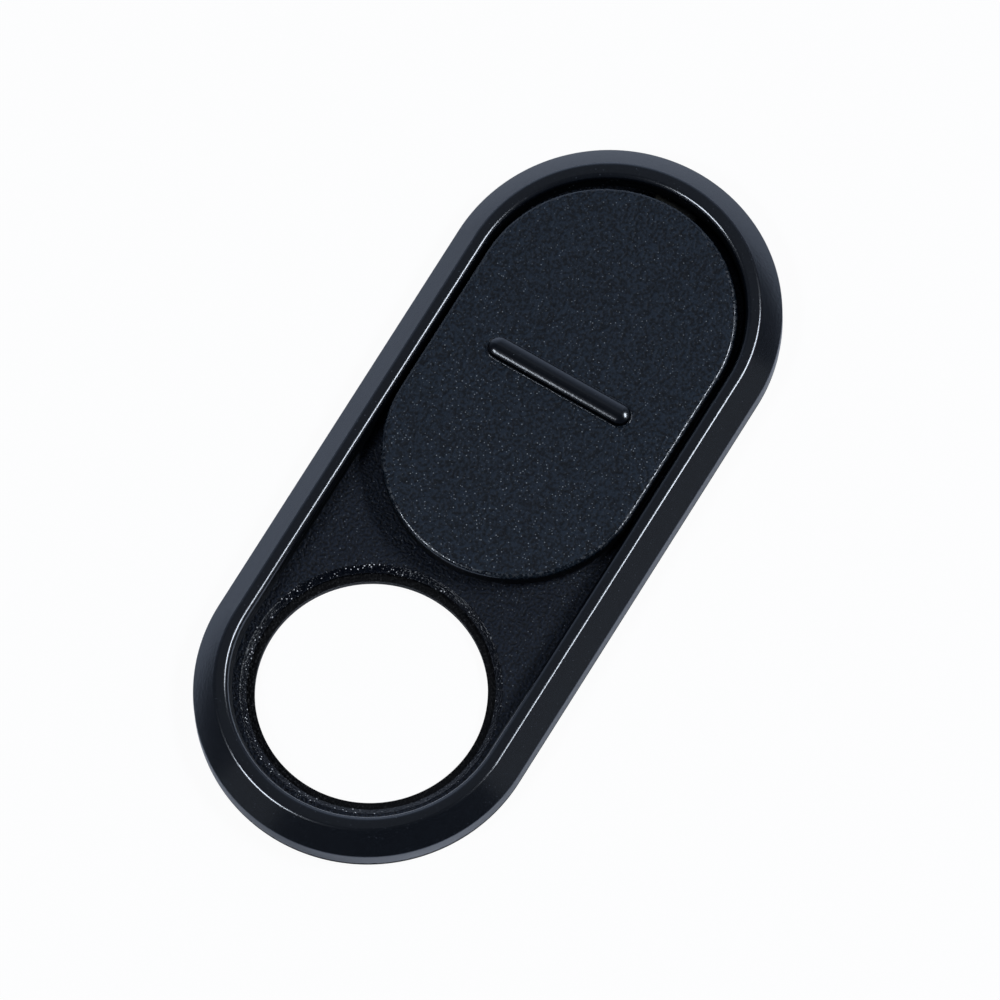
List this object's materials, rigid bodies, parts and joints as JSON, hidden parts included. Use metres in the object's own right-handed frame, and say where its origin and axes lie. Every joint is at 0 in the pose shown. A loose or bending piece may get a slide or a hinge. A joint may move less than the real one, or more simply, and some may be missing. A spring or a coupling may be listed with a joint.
{
  "type": "webcam cover slider",
  "caption": "Stadium-shaped stick-on camera cover: a bevelled rim around a floor with a round camera hole, and a ridged shutter that slides over the hole.",
  "frame": {"origin": "centre of the outline on the adhesive face that sticks to the screen", "axes": "+X along the slide towards the shutter's parked end, +Y across, +Z out of the face"},
  "size_m": [0.0194, 0.0084, 0.0014],
  "materials": {
    "rim_plastic": "smooth satin black moulding",
    "floor_plastic": "fine-grained black moulding",
    "shutter_plastic": "fine-grained black moulding with a smooth ridge",
    "foam_tape": "matte black foam tape"
  },
  "bodies": {
    "housing": {"rim_frame": "rim_plastic", "base_plate": "floor_plastic", "adhesive_pad": "foam_tape"},
    "shutter": {"shutter": "shutter_plastic"}
  },
  "joints": [
    {"name": "shutter_slide", "type": "slide", "parent": "housing", "child": "shutter", "axis": [-1, 0, 0], "range_m": [-0.00019, 0.00679]}
  ]
}
